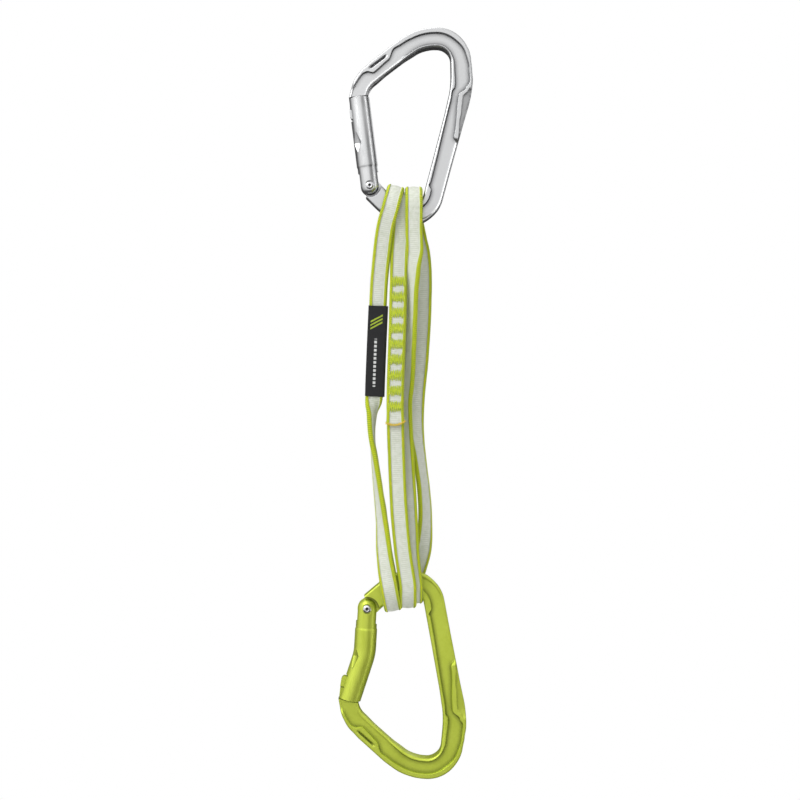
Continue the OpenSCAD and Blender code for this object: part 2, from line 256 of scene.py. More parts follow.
pocket_inner = table([(0, 3.2), (28, 3.1), (39, 3.3), (50, 3.6), (64, 4.0), (71, 3.4), (80.5, 2.9),
                      (82.6, 3.9), (88, 3.6), (126.3, 2.9), (127.6, 3.3), (130, 1.7), (140, 1.5),
                      (145, 1.8), (155, 2.6), (168, 2.8)])
ridge_at = table([(79, 4.6), (81.3, 3.2), (84.1, 1.4), (93.9, 2.5), (103.2, 4.0), (105, 4.6)])
pocket_floor = table([(0, 3.3), (14, 3.15), (30, 3.0), (60, 2.8), (150, 2.7), (156, 3.4), (159, 4.3),
                      (168, 4.3)])
outer_height = table([(0, 3.4), (4.0, 3.4), (6.5, 4.3), (103.6, 4.3), (105.6, 3.0), (118, 2.9),
                      (140, 2.95), (154, 3.5), (160, 4.3), (168, 4.3)])
inner_height = table([(0, 3.35), (27, 3.2), (36, 4.3), (168, 4.3)])


def quarter(n):
    return [(math.sin(a), 1 - math.cos(a)) for a in np.linspace(0, math.pi / 2, n)]


def frame_section(s):
    """The front half of the bar's section, from its outer side to its inner side: (offset, height)."""
    out, inn = outer_side(s), -inner_side(s)
    p_out = min(pocket_outer(s), out - 1.0)
    p_in = -min(pocket_inner(s), -inn - 0.9)
    floor, land = pocket_floor(s), outer_height(s)
    rim = inner_height(s)
    outer_round, inner_round, draft = 0.7, 1.1, 0.55
    points = [(out, 0.0), (out, (land - outer_round) * 0.5)]
    points += [(out - outer_round * t, land - outer_round * (1 - r)) for r, t in quarter(6)]
    for t in np.linspace(0, 1, 25)[1:]:
        points.append(((out - outer_round) * (1 - t) + (p_out + draft / 2) * t, land))
    wall = [(t, ease(t)) for t in (0.25, 0.5, 0.75, 1.0)]
    points += [(p_out + draft / 2 - draft * t, land * (1 - w) + floor * w) for t, w in wall]
    start, end = p_out - draft / 2, p_in + draft / 2
    points += [(start * (1 - t) + end * t, floor) for t in np.linspace(0, 1, 9)[1:]]
    points += [(end - draft * t, floor * (1 - w) + rim * w) for t, w in wall]
    edge = min(inn + inner_round, end - draft - 0.05)
    points.append(((end - draft + edge) / 2, rim))
    span = edge - inn
    points += [(edge - span * r, rim - inner_round * t) for r, t in quarter(7)]
    points.append((inn, (rim - inner_round) * 0.5))
    u, v = np.array(points).T
    # The slanted facet on the spine's shoulder: a short step down past its ridge, then a slope.
    step, run, slope = 0.6, 0.35, 0.16
    facet = smooth_step(s, 79.5, 82) * (1 - smooth_step(s, 103.5, 105.5))
    past = u - ridge_at(s)
    v = v - facet * (v > 1) * (step * smooth_step(past, 0, run) + slope * np.clip(past - run, 0, 9))
    # The short groove on the nose arm.
    depth, middle, spread = 0.75, 2.35, 0.42
    groove = smooth_step(s, 14.6, 16.2) * (1 - smooth_step(s, 23.6, 25.4))
    v = v - groove * depth * np.exp(-(((u - middle) / spread) ** 2)) * (v > HALF_T - 1.5)
    return u, v


def make_frame(name, node, place, body, material):
    stations = centreline()
    points = []
    for s, x, y, heading in stations:
        u, v = frame_section(s)
        u = np.concatenate([u, u[::-1][:-1]])
        v = np.concatenate([v, -v[::-1][:-1]])
        for a, b in zip(u, v):
            points.append((x - a * math.sin(heading), y + a * math.cos(heading), b))
    sides = len(points) // len(stations)
    obj = mesh_object(name, points, grid_faces(len(stations), sides), 1)

    def cut(tool):
        tool.data.transform(AT_GATE)
        combine(obj, tool, "DIFFERENCE")

    def add(tool):
        tool.data.transform(AT_GATE)
        combine(obj, tool, "UNION")

    cut(disc_tool(EAR_R + 0.5, -THROUGH, THROUGH, 96))
    swing_room = box_tool(-GATE_R - 0.35, GATE_R + 0.35, 0, 14, -THROUGH, THROUGH)
    cut(turn_tool(swing_room, -GATE_TRAVEL - FIRST_BEND))
    nose = GATE_LEN + NOSE_GAP
    arc = [(nose * math.sin(a), nose * math.cos(a)) for a in np.linspace(-0.22, 0.22, 33)]
    cut(prism_tool([(-9.1, 30), (9.1, 30)] + arc[::-1], -THROUGH, THROUGH))
    out, inn, low, top = KEY["outer"], KEY["inner"], KEY["low"], KEY["top"]
    neck = [(out + 0.2, low + 1), (inn, low + 1), (inn, GATE_LEN + 3), (out + 2.5, GATE_LEN + 3),
            (out + 0.6, GATE_LEN - 1), (out + 0.2, top)]
    head = [(out + 1.1, low), (inn - 0.7, low), (inn - 0.2, low + 0.3), (inn - 0.02, low + 0.9),
            (inn - 0.02, top), (out + 0.1, top), (out, low + 1.6), (out + 0.35, low + 0.5)]
    add(prism_tool(neck, -KEY["neck"], KEY["neck"]))
    add(prism_tool(head, -KEY["head"], KEY["head"]))
    tang = disc_tool(TANG_R, -TANG_HALF, TANG_HALF, 64)
    root = box_tool(-TANG_R + 0.2, TANG_R - 0.2, 0, 8, -TANG_HALF, TANG_HALF)
    combine(tang, turn_tool(root, 216), "UNION")
    combine(tang, box_tool(-20, 20, 3, 20, -9, 9), "DIFFERENCE")
    add(tang)
    cut(disc_tool(FRAME_HOLE_R, -THROUGH, THROUGH))
    finish_metal(obj, place)
    obj.data.materials.clear()
    obj.data.materials.append(material)
    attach(obj, body)
    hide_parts(node)
    return obj


# ---- gates -----------------------------------------------------------------------------------
EAR_HALF_W = 4.65
EAR_HALF_T = 4.75
EAR_LEN = 9.0


def rod_path(bend):
    """Centres of the gate rod and how far it leans, from its round hinge end past the nose."""
    lift, bend_radius = 20, 24
    path = [(0.0, -EAR_HALF_W * math.cos(a), 0.0) for a in np.linspace(0.09, math.pi / 2, 14)]
    if not bend:
        return path + [(0.0, y, 0.0) for y in np.arange(0.4, GATE_LEN + 6, 0.4)]
    first = lift - bend_radius * math.tan(math.radians(bend) / 2)
    path += [(0.0, y, 0.0) for y in np.arange(0.4, first, 0.4)]
    for a in np.linspace(0, math.radians(bend), 16):
        path.append((bend_radius * (math.cos(a) - 1), first + bend_radius * math.sin(a), a))
    x, y, a = path[-1]
    for t in np.linspace(0, GATE_LEN - lift + 6, 20)[1:]:
        path.append((x - t * math.sin(a), y + t * math.cos(a), a))
    return path


def grip_tool(side, bend):
    """A long diamond with four facets, which cuts the thumb recess in the gate's outer side."""
    start, end = (16.4, 27.4) if bend else (15.3, 26.4)
    widest = start + 0.44 * (end - start)
    x, z = -3.6, 3.6
    ring = [(-1.6, 2.7), (-1.2, 6.2), (-7.5, 4.7), (-6.0, 1.5)]
    points = [vec(x, start, side * z)]
    points += [vec(a, widest, side * b) for a, b in ring]
    points.append(vec(x, end, side * z))
    faces = [(0, 1, 2), (0, 2, 3), (0, 3, 4), (0, 4, 1), (5, 2, 1), (5, 3, 2), (5, 4, 3), (5, 1, 4)]
    if side < 0:
        faces = [face[::-1] for face in faces]
    tool = mesh_object("tool", points, faces, 1)
    if bend:
        turn_tool(tool, -FIRST_BEND + 3)
    tool.data.update()
    return tool


def make_gate(name, node, bend, place, body, material):
    sides = 96
    points = []
    for x, y, a in rod_path(bend):
        shoulder = float(smooth_step(y, EAR_LEN - 0.35, EAR_LEN + 0.35))
        half_w = EAR_HALF_W + (GATE_R - EAR_HALF_W) * shoulder
        half_t = EAR_HALF_T + (GATE_R - EAR_HALF_T) * shoulder
        if y < 0:
            half_w = math.sqrt(max(EAR_HALF_W**2 - y * y, 0))
            half_t *= (1 - (-y / EAR_HALF_W) ** 4) ** 0.5
        for t in np.linspace(0, 2 * math.pi, sides, endpoint=False):
            r = half_w * math.cos(t)
            points.append((x + r * math.cos(a), y + r * math.sin(a), -half_t * math.sin(t)))
    obj = mesh_object(name, points, grid_faces(len(points) // sides, sides), 1)
    if bend:
        turn_tool(obj, -FIRST_BEND)
    reach = [(GATE_LEN * math.sin(a), GATE_LEN * math.cos(a)) for a in np.linspace(-0.6, 0.6, 61)]
    combine(obj, prism_tool([(-25, -6), (25, -6)] + reach[::-1], -12, 12), "INTERSECT")
    # The rivet heads' seats, the fork round the frame's tang, and the spring's bore.
    seat, seat_r = 4.3, 2.15
    for side in (-1, 1):
        t0, t1 = sorted((side * seat, side * 9))
        combine(obj, disc_tool(seat_r, t0, t1), "DIFFERENCE")
    fork, fork_half = 6.3, 2.1
    combine(obj, box_tool(-9, 9, -9, fork, -fork_half, fork_half), "DIFFERENCE")
    bore_r, bore_end, bore_x = 1.35, 21, 1.5
    combine(obj, bar_tool(bore_r, fork - 1, bore_end, bore_x), "DIFFERENCE")
    gap = 0.4
    for half, top in ((KEY["neck"] + gap, GATE_LEN + 9), (KEY["head"] + gap, KEY["top"] + gap)):
        combine(obj, box_tool(-9, KEY["inner"] + gap, KEY["low"] - 0.8, top, -half, half), "DIFFERENCE")
    for side in (-1, 1):
        combine(obj, grip_tool(side, bend), "DIFFERENCE")
    combine(obj, disc_tool(GATE_HOLE_R, -THROUGH, THROUGH), "DIFFERENCE")
    finish_metal(obj, place @ AT_GATE, 32)
    obj.data.materials.clear()
    obj.data.materials.append(material)
    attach(obj, body)
    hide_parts(node)
    return obj


def make_rivet(name, node, place, body, material):
    """A round-headed rivet with the dimple of its peening tool in each head."""
    top = EAR_HALF + 0.5
    half = [(0.0, top - 0.9), (0.35, top - 0.86), (0.52, top - 0.6), (0.6, top - 0.1),
            (0.74, top), (0.95, top + 0.02), (1.35, top - 0.08), (1.68, top - 0.26),
            (1.84, top - 0.42), (1.86, EAR_HALF + 0.02), (1.5, EAR_HALF - 0.02)]
    profile = [(r, -h) for r, h in half] + half[::-1]
    obj = lathe(profile, 64, name)
    finish_metal(obj, place @ AT_GATE, 50)
    obj.data.materials.append(material)
    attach(obj, body)
    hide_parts(node)
    return obj


# ---- sling routes, as in the CAD -----------------------------------------------------------------
WEB_W, WEB_T = 8.0, 2.0
TOP_Z = -76.2
LOW_Z = TOP_Z - 172.7
INNER_Y, OUTER_Y, LEFT_Y = 7.9, 10.2, 11.4
UNDER_Y = INNER_Y - WEB_T - 0.12
TOP_TILT, LOW_TILT = 14, 10
TOP_BIGHTS = [(-20.3, TOP_Z + 0.5), (-14.6, TOP_Z + 0.6), (-9.4, TOP_Z + 0.9)]
LOW_BIGHTS = [(-20.9, LOW_Z - 0.5), (-12.2, LOW_Z - 0.1), (-9.2, LOW_Z - 0.3)]


def top_end(k, y):
    return (TOP_BIGHTS[k][0], y, TOP_BIGHTS[k][1], 0)


def low_end(k, y, twist=0):
    return (LOW_BIGHTS[k][0], y, LOW_BIGHTS[k][1], twist)


DOWN = vec(0, 0, -1)
DOWN_LEFT = vec(-math.sin(math.radians(TOP_TILT)), 0, -math.cos(math.radians(TOP_TILT)))
DOWN_RIGHT = vec(math.sin(math.radians(LOW_TILT)), 0, -math.cos(math.radians(LOW_TILT)))

FRONT_LEFT = [
    top_end(0, -LEFT_Y), (-22.6, -10.4, -84, 0), (-24, -9.2, -94, 0), (-25.4, -7.5, -108, 0),
    (-26.2, -6.3, -124, 0), (-26.9, -6.1, -140, 0), (-27.5, -6.1, -155, 0), (-27.8, -6.1, -162.6, -2),
    (-28.7, -6, -169, -62), (-28.9, -5.9, -179, -80), (-27.6, -5.9, -191, -100),
    (-25.8, -6.4, -206, -112), (-24.2, -7.2, -220, -125), (-23, -9.2, -235, -150),
    low_end(0, -LEFT_Y, -180),
]
FRONT_TAIL = [
    top_end(1, -INNER_Y), (-15.4, -INNER_Y, -86, 0), (-16.2, -INNER_Y, -97, 0),
    (-16.6, -INNER_Y, -112, 0), (-17, -INNER_Y, -130, 0), (-17.7, -INNER_Y, -150, 0),
    (-18, -INNER_Y, -165, 0), (-17.9, -INNER_Y, -174.3, 0),
]
BACK_TAIL = [
    (-15.9, -UNDER_Y, -104, 0), (-16.6, -UNDER_Y, -120, 0), (-17.5, -UNDER_Y, -145, 0),
    (-18, -UNDER_Y, -165, 0), (-17.9, -UNDER_Y, -171, 0), (-17.8, -UNDER_Y, -178, 0),
    (-17.4, -5.8, -190, 0), (-16.8, -7, -205, 0), (-15.9, -8.2, -219, 0), (-14.4, -9.4, -234, 0),
    low_end(1, -OUTER_Y),
]
FRONT_RIGHT = [
    top_end(2, -OUTER_Y), (-9.4, -10.4, -86, 0), (-9, -10.5, -94, 10), (-9.6, -9.5, -102, 40),
    (-10, -7.8, -112, 54), (-10.4, -5.6, -125, 58), (-10.9, -3, -140, 60), (-12, -0.4, -155, 50),
    (-13.4, 0.2, -165, 40), (-13.4, 0.2, -180, 25), (-12.8, -0.8, -195, 12), (-12, -2.4, -210, 0),
    (-11.3, -4, -223, 0), (-10.7, -5.8, -236, 0), low_end(2, -INNER_Y),
]
BACK_LEFT = [
    top_end(0, LEFT_Y), (-22.6, 10.2, -84, 0), (-24, 9, -94, 0), (-25.4, 7.8, -108, 0),
    (-26.2, 6.8, -124, 0), (-26.7, 6.4, -140, -10), (-27.8, 6.2, -155, -40), (-28.9, 6.2, -168, -75),
    (-28.9, 6.2, -178, -85), (-27.6, 6.2, -191, -100), (-25.8, 6.6, -206, -112),
    (-24.2, 7.4, -220, -125), (-23, 9.2, -235, -150), low_end(0, LEFT_Y, -180),
]
BACK_MIDDLE = [
    top_end(1, INNER_Y), (-15.4, INNER_Y, -86, 0), (-16.2, INNER_Y, -97, 0), (-16.6, 6.8, -112, 0),
    (-17, 6.3, -130, 0), (-17.8, 6.2, -150, 0), (-18.1, 6.2, -168, 0), (-17.6, 6.4, -187, 0),
    (-16.4, 7.4, -207, 0), (-13.6, 9, -232, 0), low_end(1, OUTER_Y),
]
BACK_RIGHT = [
    top_end(2, OUTER_Y), (-7.4, 10.1, -86, 0), (-5.4, 9.4, -96, 0), (-4.8, 8, -108, 0),
    (-5.2, 6.8, -125, 0), (-6.5, 6, -145, 0), (-8.2, 5.4, -163, -10), (-8.2, 5, -178, -30),
    (-6.6, 4.8, -191, -45), (-4.8, 5, -205, -50), (-4.0, 5.4, -219, -40), (-5.0, 6, -234, -15),
    low_end(2, INNER_Y),
]


def curve(a, b, c, d, t):
    return 0.5 * (2 * b + (c - a) * t + (2 * a - 5 * b + 4 * c - d) * t * t
                  + (3 * b - a - 3 * c + d) * t**3)


def strand(route, start_dir, end_dir):
    """Fine samples down a route: rows of centre and width direction."""
    rows = np.array(route, float)
    first = np.append(rows[0][:3] - start_dir * 8, rows[0][3])
    last = np.append(rows[-1][:3] + end_dir * 8, rows[-1][3])
    rows = np.vstack([first, rows, last])
    fine = []
    for i in range(1, len(rows) - 2):
        for t in np.arange(0, 1, 1 / 24):
            p = curve(rows[i - 1], rows[i], rows[i + 1], rows[i + 2], t)
            p[3] = rows[i][3] * (1 - t) + rows[i + 1][3] * t
            fine.append(p)
    fine.append(rows[-2])
    fine = np.array(fine)
    direction = np.gradient(fine[:, :3], axis=0)
    out = []
    for p, d in zip(fine, direction):
        d = unit(d)
        side = unit(vec(-d[2], 0, d[0]))
        face = np.cross(d, side)
        a = math.radians(p[3])
        out.append(np.concatenate([p[:3], side * math.cos(a) + face * math.sin(a)]))
    return np.array(out)


def bight(centre, y, tilt, way, sign):
    """Half a turn over a basket bar, from front to back. sign is the width direction's."""
    rows = []
    t = math.radians(tilt)
    up = vec(math.sin(t), 0, math.cos(t)) * way
    across = vec(math.cos(t), 0, -math.sin(t))
    middle = vec(centre[0], 0, centre[1])
    for a in np.linspace(0, math.pi, 73)[1:-1]:
        p = middle + vec(0, -y * math.cos(a), 0) + up * y * math.sin(a)
        rows.append(np.concatenate([p, across * sign]))
    return np.array(rows)


def even_rows(rows, spacing, closed):
    """The same path at even spacing, smoothed a little, with its width directions kept in step."""
    if closed:
        rows = np.vstack([rows, rows[:1]])
    for i in range(1, len(rows)):
        if rows[i][3:] @ rows[i - 1][3:] < 0:
            rows[i][3:] *= -1
    run = np.concatenate([[0], np.cumsum(np.linalg.norm(np.diff(rows[:, :3], axis=0), axis=1))])
    count = int(run[-1] / spacing)
    at = np.linspace(0, run[-1], count, endpoint=not closed)
    even = np.column_stack([np.interp(at, run, rows[:, k]) for k in range(6)])
    window = np.hanning(19)[1:-1]
    window /= window.sum()
    pad = len(window) // 2
    mode = "wrap" if closed else "edge"
    for k in range(6):
        ends = np.pad(even[:, k], pad, mode=mode)
        smooth = np.convolve(ends, window, mode="valid")
        if not closed:
            smooth[:pad], smooth[-pad:] = even[:pad, k], even[-pad:, k]
        even[:, k] = smooth
    return even, at


def smooth_noise(at, period, seed, closed_length=None):
    """Soft noise along a path, between -1 and 1."""
    local = np.random.default_rng(seed)
    total = closed_length or at[-1] + period
    knots = max(4, int(total / period))
    values = local.uniform(-1, 1, knots)
    if closed_length:
        x = at / total * knots
        i = np.floor(x).astype(int)
        t = ease(x - i)
        return values[i % knots] * (1 - t) + values[(i + 1) % knots] * t
    return np.interp(at, np.linspace(0, total, knots), values)


RING = 0.24      # distance between the rings of a ribbon
PICK = 0.9       # distance between the webbing's crosswise picks, and between the beads of its edges
DROOP = 0.6      # how far a ribbon's edges droop over a basket bar


def web_profile():
    """Points round the webbing's section: (across, out, how much of it is face, how much is edge)."""
    a, b = WEB_W / 2, WEB_T / 2
    face_half, face_count, edge_r = 2.6, 13, 1.1
    points = []
    for x in np.linspace(-face_half, face_half, face_count):
        points.append((x, b * (0.84 + 0.06 * math.cos(x * 1.2)), 1.0, 0.0))
    edge = []
    for t in np.linspace(1.9, -1.9, 11):
        edge.append((a - edge_r + edge_r * math.cos(t), 1.14 * b * math.sin(t), 0.0, 1.0))
    points += edge
    points += [(-x, -y, f, e) for x, y, f, e in points[:face_count]]
    points += [(-x, -y, f, e) for x, y, f, e in edge]
    return points


def make_ribbon(name, rows, closed, seed, nodes, material, flare_start=False):
    rows, at = even_rows(rows, RING, closed)
    length = at[-1] + (RING if closed else 0)
    n = len(rows)
    centre, across = rows[:, :3], rows[:, 3:]
    if closed:
        direction = np.roll(centre, -1, axis=0) - np.roll(centre, 1, axis=0)
    else:
        direction = np.gradient(centre, axis=0)
    direction /= np.linalg.norm(direction, axis=1)[:, None]
    across = across - direction * np.sum(across * direction, axis=1)[:, None]
    across /= np.linalg.norm(across, axis=1)[:, None]
    out = np.cross(direction, across)
    picks = round(length / PICK)
    basket = np.where(centre[:, 2] > (TOP_Z + LOW_Z) / 2, TOP_Z, LOW_Z)
    from_bar = np.stack([np.zeros(n), centre[:, 1], centre[:, 2] - basket], axis=1)
    outward = -np.sign(np.sum(out * from_bar, axis=1))
    # Over a basket bar the ribbon's edges droop. Only a bight's rows lie beyond the basket's height.
    beyond = np.maximum(centre[:, 2] - TOP_Z, LOW_Z - centre[:, 2])
    droop = DROOP * smooth_step(beyond, 1.0, 9.0)
    loop = length if closed else None
    wobble = smooth_noise(at, 2.3, seed, loop)
    width = 1 + 0.012 * smooth_noise(at, 9, seed + 1, loop) + 0.006 * wobble
    pick_size = 0.75 + 0.5 * smooth_noise(at, 3.1, seed + 2, loop)
    lean = 0.07 * smooth_noise(at, 6.0, seed + 3, loop)
    if flare_start:
        width = width * (1 + 0.09 * np.exp(-at / 2.2))
    profile = web_profile()
    points, uv = [], []
    local = np.random.default_rng(seed + 9)
    grain = local.uniform(-1, 1, (n, len(profile)))
    for k in range(n):
        along = at[k] / length
        for j, (x, y, face, edge) in enumerate(profile):
            sign = 1 if y > 0 else -1
            phase = 2 * math.pi * (picks * along + 0.04 * x + 0.35 * math.sin(x * 0.9 + seed))
            ripple = face * sign * (0.045 * pick_size[k] * math.sin(phase) + 0.012 * grain[k, j])
            bead_phase = 2 * math.pi * (picks * along + (0.5 if x > 0 else 0) + 0.1 * y)
            swell = 1 + edge * (0.085 * math.sin(bead_phase) + 0.012 * grain[k, j])
            px = x * width[k] * (1 + edge * 0.02 * math.sin(bead_phase))
            py = y * swell + ripple + lean[k] * x * 0.3 + outward[k] * droop[k] * (x / 4) ** 2
            points.append(centre[k] + across[k] * px + out[k] * py)
            uv.append((0.5 + x / WEB_W, picks * along))
    obj = mesh_object(name, points, grid_faces(n, len(profile), closed), uv=uv)
    obj.data.materials.append(material)
    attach(obj, "sling")
    if nodes:
        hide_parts(*nodes)
    return obj


# ---- thread and label ------------------------------------------------------------------------------
def thread_tube(points, radius, sides=6, flat=1.0):
    """Rings round a short hand of thread, tapered at both ends."""
    pts = np.array(points, float)
    direction = np.gradient(pts, axis=0)
    rings = []
    n = len(pts)
    for k in range(n):
        d = unit(direction[k])
        side = unit(np.cross(d, vec(0, 1, 0)))
        up = np.cross(side, d)
        r = radius * (0.72 if k in (0, n - 1) else 1.0)
        for a in np.linspace(0, 2 * math.pi, sides, endpoint=False):
            rings.append(pts[k] + side * r * math.cos(a) + up * r * flat * math.sin(a))
    return rings, grid_faces(n, sides)


def join_tubes(name, tubes):
    points, faces = [], []
    for rings, quads in tubes:
        base = len(points)
        points += rings
        faces += [tuple(base + i for i in f) for f in quads]
    return mesh_object(name, points, faces)


def tack_threads(y, side, seed):
    """Nine blocks of zigzag stitches on one face of the splice. side is -1 on the front."""
    local = np.random.default_rng(seed)
    first, pitch, blocks, stitches = -108.8, 7.2, 9, 13
    tubes = []
    for k in range(blocks):
        cx = -16.2 - 0.3 * k + 0.009 * k * k
        cz = first - pitch * k
        width = 5.3 + local.uniform(-0.15, 0.25)
        tilt = local.uniform(-0.06, 0.06)
        for i in range(stitches):
            x = cx + width * (i / (stitches - 1) - 0.5) + local.uniform(-0.06, 0.06)
            half_top = 2.0 + local.uniform(-0.35, 0.55) + 0.22 * (i % 2)
            half_low = 2.0 + local.uniform(-0.35, 0.6) + 0.22 * ((i + 1) % 2)
            slant = (0.22 if i % 2 else -0.22) + tilt
            lift = 0.24 + local.uniform(-0.04, 0.08)
            path = []
            for t in np.linspace(-1, 1, 11):
                z = cz + (half_top if t > 0 else half_low) * t
                rise = lift * (1 - abs(t) ** 5) - 0.3 * (abs(t) > 0.97)
                bow = 0.05 * math.sin(t * 9 + i)
                path.append((x + slant * t + bow + tilt * (z - cz), y + side * rise, z))
            tubes.append(thread_tube(path, 0.27, 7, 0.8))
    return tubes


def make_tacks(material):
    tubes = tack_threads(-INNER_Y - WEB_T / 2 + 0.02, -1, 21)
    tubes += tack_threads(-UNDER_Y + WEB_T / 2 - 0.02, 1, 22)
    obj = join_tubes("bar_tack_threads", tubes)
    obj.data.materials.append(material)
    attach(obj, "sling")
    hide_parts("bar_tacks")
    return obj


def make_lap_end(material):
    """The two bowed rows of yellow thread that bind the lap's cut end."""
    tubes, count = [], 15
    local = np.random.default_rng(5)
    for row in range(2):
        for i in range(count):
            t = i / (count - 1)
            x = -22.1 + 8.6 * t
            z = -173.9 - 1.3 * math.sin(math.pi * t) + 0.9 * t - 0.35 * row
            path = []
            for q in np.linspace(-1, 1, 6):
                path.append((x + 0.42 * q, -INNER_Y - WEB_T / 2 - 0.12 + 0.2 * q * q,
                             z + 0.32 * q * (1 if (i + row) % 2 else -1) + local.uniform(-0.05, 0.05)))
            tubes.append(thread_tube(path, 0.19, 6))
    obj = join_tubes("lap_end_thread", tubes)
    obj.data.materials.append(material)
    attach(obj, "sling")
    return obj


LABEL_TOP, LABEL_LEN = -119.4, 42.5


def make_label(rows, material):
    """A thin woven sleeve round the left strand, open along the strand's left edge."""
    picked = rows[(rows[:, 2] <= LABEL_TOP) & (rows[:, 2] >= LABEL_TOP - LABEL_LEN)]
    rows, at = even_rows(picked.copy(), 0.4, False)
    centre, across = rows[:, :3], rows[:, 3:]
    direction = np.gradient(centre, axis=0)
    a, b, thick = WEB_W / 2 + 0.55, WEB_T / 2 + 0.32, 0.26
    left, right, fold = -4.25, 3.4, 0.85
    outline = [(x, b) for x in np.linspace(left, right, 16)]
    for t in np.linspace(math.pi / 2, -math.pi / 2, 13)[1:-1]:
        outline.append((a - fold + fold * math.cos(t), b * math.sin(t)))
    outline += [(x, -b) for x in np.linspace(right, left, 16)]
    outline = np.array(outline)
    run = np.concatenate([[0], np.cumsum(np.linalg.norm(np.diff(outline, axis=0), axis=1))])
    tangent = np.gradient(outline, axis=0)
    tangent /= np.linalg.norm(tangent, axis=1)[:, None]
    normal = np.column_stack([-tangent[:, 1], tangent[:, 0]])
    section = np.vstack([outline + normal * thick, outline[::-1]])
    across_uv = np.concatenate([run, run[::-1]])
    points, uv = [], []
    wave = smooth_noise(at, 5.0, 31)
    for k in range(len(rows)):
        d = unit(direction[k])
        w = unit(across[k] - d * (across[k] @ d))
        out = np.cross(d, w)
        end = 0.1 * math.exp(-min(k, len(rows) - 1 - k) / 4)
        for (x, y), r in zip(section, across_uv):
            swell = 1 + 0.03 * wave[k] * math.sin(x) + end * 0.6
            points.append(centre[k] + w * x + out * y * swell)
            uv.append((r / WEB_W, at[k] / LABEL_LEN))
    obj = mesh_object("label_cloth", points, grid_faces(len(rows), len(section)), uv=uv)
    obj.data.materials.append(material)
    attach(obj, "sling")
    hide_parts("label_sleeve")
    return obj


# ---- materials ---------------------------------------------------------------------------------------
class Look:
    """A material built node by node. Inputs are numbers, colours or another node's output."""

    def __init__(self, name):
        self.material = bpy.data.materials.new(name)
        self.material.use_nodes = True
        self.tree = self.material.node_tree
        self.tree.nodes.clear()
        self.shader = self.tree.nodes.new("ShaderNodeBsdfPrincipled")
        out = self.tree.nodes.new("ShaderNodeOutputMaterial")
        self.tree.links.new(self.shader.outputs[0], out.inputs["Surface"])
        self.place = self.tree.nodes.new("ShaderNodeTexCoord").outputs["Object"]

    def plug(self, socket, value):
        if isinstance(value, bpy.types.NodeSocket):
            self.tree.links.new(value, socket)
        elif isinstance(value, tuple) and len(value) == 3 and socket.type == "RGBA":
            socket.default_value = (*value, 1)
        else:
            socket.default_value = value

    def node(self, kind, output=0, inputs=None, **settings):
        made = self.tree.nodes.new("ShaderNode" + kind)
        for key, value in settings.items():
            setattr(made, key, value)
        for key, value in (inputs or {}).items():
            self.plug(made.inputs[key], value)
        return made.outputs[output]

    def math(self, operation, a, b=0.0, c=0.0):
        return self.node("Math", 0, {0: a, 1: b, 2: c}, operation=operation)

    def noise(self, scale, detail=3.0, rough=0.5, at=None):
        inputs = {"Vector": at or self.place, "Scale": scale, "Detail": detail, "Roughness": rough}
        return self.node("TexNoise", "Fac", inputs)

    def stretched(self, x, y, z):
        return self.node("Mapping", 0, {"Vector": self.place, "Scale": (x, y, z)})

    def fit(self, value, low, high, to_low=0.0, to_high=1.0):
        inputs = {"Value": value, "From Min": low, "From Max": high, "To Min": to_low, "To Max": to_high}
        return self.node("MapRange", 0, inputs, clamp=True)

    def mix(self, amount, a, b):
        made = self.tree.nodes.new("ShaderNodeMix")
        made.data_type = "RGBA"
        for socket, value in ((made.inputs[0], amount), (made.inputs[6], a), (made.inputs[7], b)):
            self.plug(socket, value)
        return made.outputs[2]

    def bump(self, height, distance, strength=1.0, normal=None):
        inputs = {"Height": height, "Distance": distance, "Strength": strength}
        if normal is not None:
            inputs["Normal"] = normal
        return self.node("Bump", 0, inputs)

    def set(self, **inputs):
        for key, value in inputs.items():
            self.plug(self.shader.inputs[key.replace("_", " ")], value)
        return self.material


def metal(name, shade, dark, light, worn, roughness, grain, stretch=None, coat=0.0, metallic=1.0):
    """Blasted, anodised metal: cloudy tone, fine grain, rounded edges that are worn a little brighter, and
    painted shade that darkens the colour in hollows.
    """
    look = Look(name)
    at = look.stretched(*stretch) if stretch else look.place
    cloud = look.fit(look.noise(90.0, 4.0), 0.35, 0.65)
    streak = look.fit(look.noise(900.0, 3.0, 0.6, at), 0.3, 0.7)
    tone = look.mix(look.math("MULTIPLY_ADD", streak, 0.5, look.math("MULTIPLY", cloud, 0.5)), dark, light)
    rounded = look.node("Bevel", 0, {"Radius": 0.00022}, samples=8)
    true_normal = look.node("NewGeometry", "Normal")
    same = look.node("VectorMath", "Value", {0: rounded, 1: true_normal}, operation="DOT_PRODUCT")
    edge = look.fit(same, 0.999, 0.93, 0.0, 0.22)
    scuff = look.fit(look.noise(420.0, 5.0, 0.7), 0.5, 0.68)
    tone = look.mix(look.math("MULTIPLY", edge, scuff), tone, worn)
    # Painted shade: where ambient occlusion finds hollows, pocket walls and dimples, the base colour goes
    # dark towards the shade colour.
    painted_hollow_shade = look.node("AmbientOcclusion", "AO", {"Distance": 0.0022}, samples=8, only_local=True)
    tone = look.mix(look.fit(painted_hollow_shade, 0.5, 0.97), shade, tone)
    fine = look.noise(grain, 2.0, 0.6, at)
    rough = look.math("MULTIPLY_ADD", streak, 0.1, look.math("MULTIPLY_ADD", cloud, 0.07, roughness))
    normal = look.bump(fine, 0.000012, 0.25, rounded)
    return look.set(Base_Color=tone, Metallic=metallic, Roughness=rough, Normal=normal, Coat_Weight=coat,
                    Coat_Roughness=0.25)


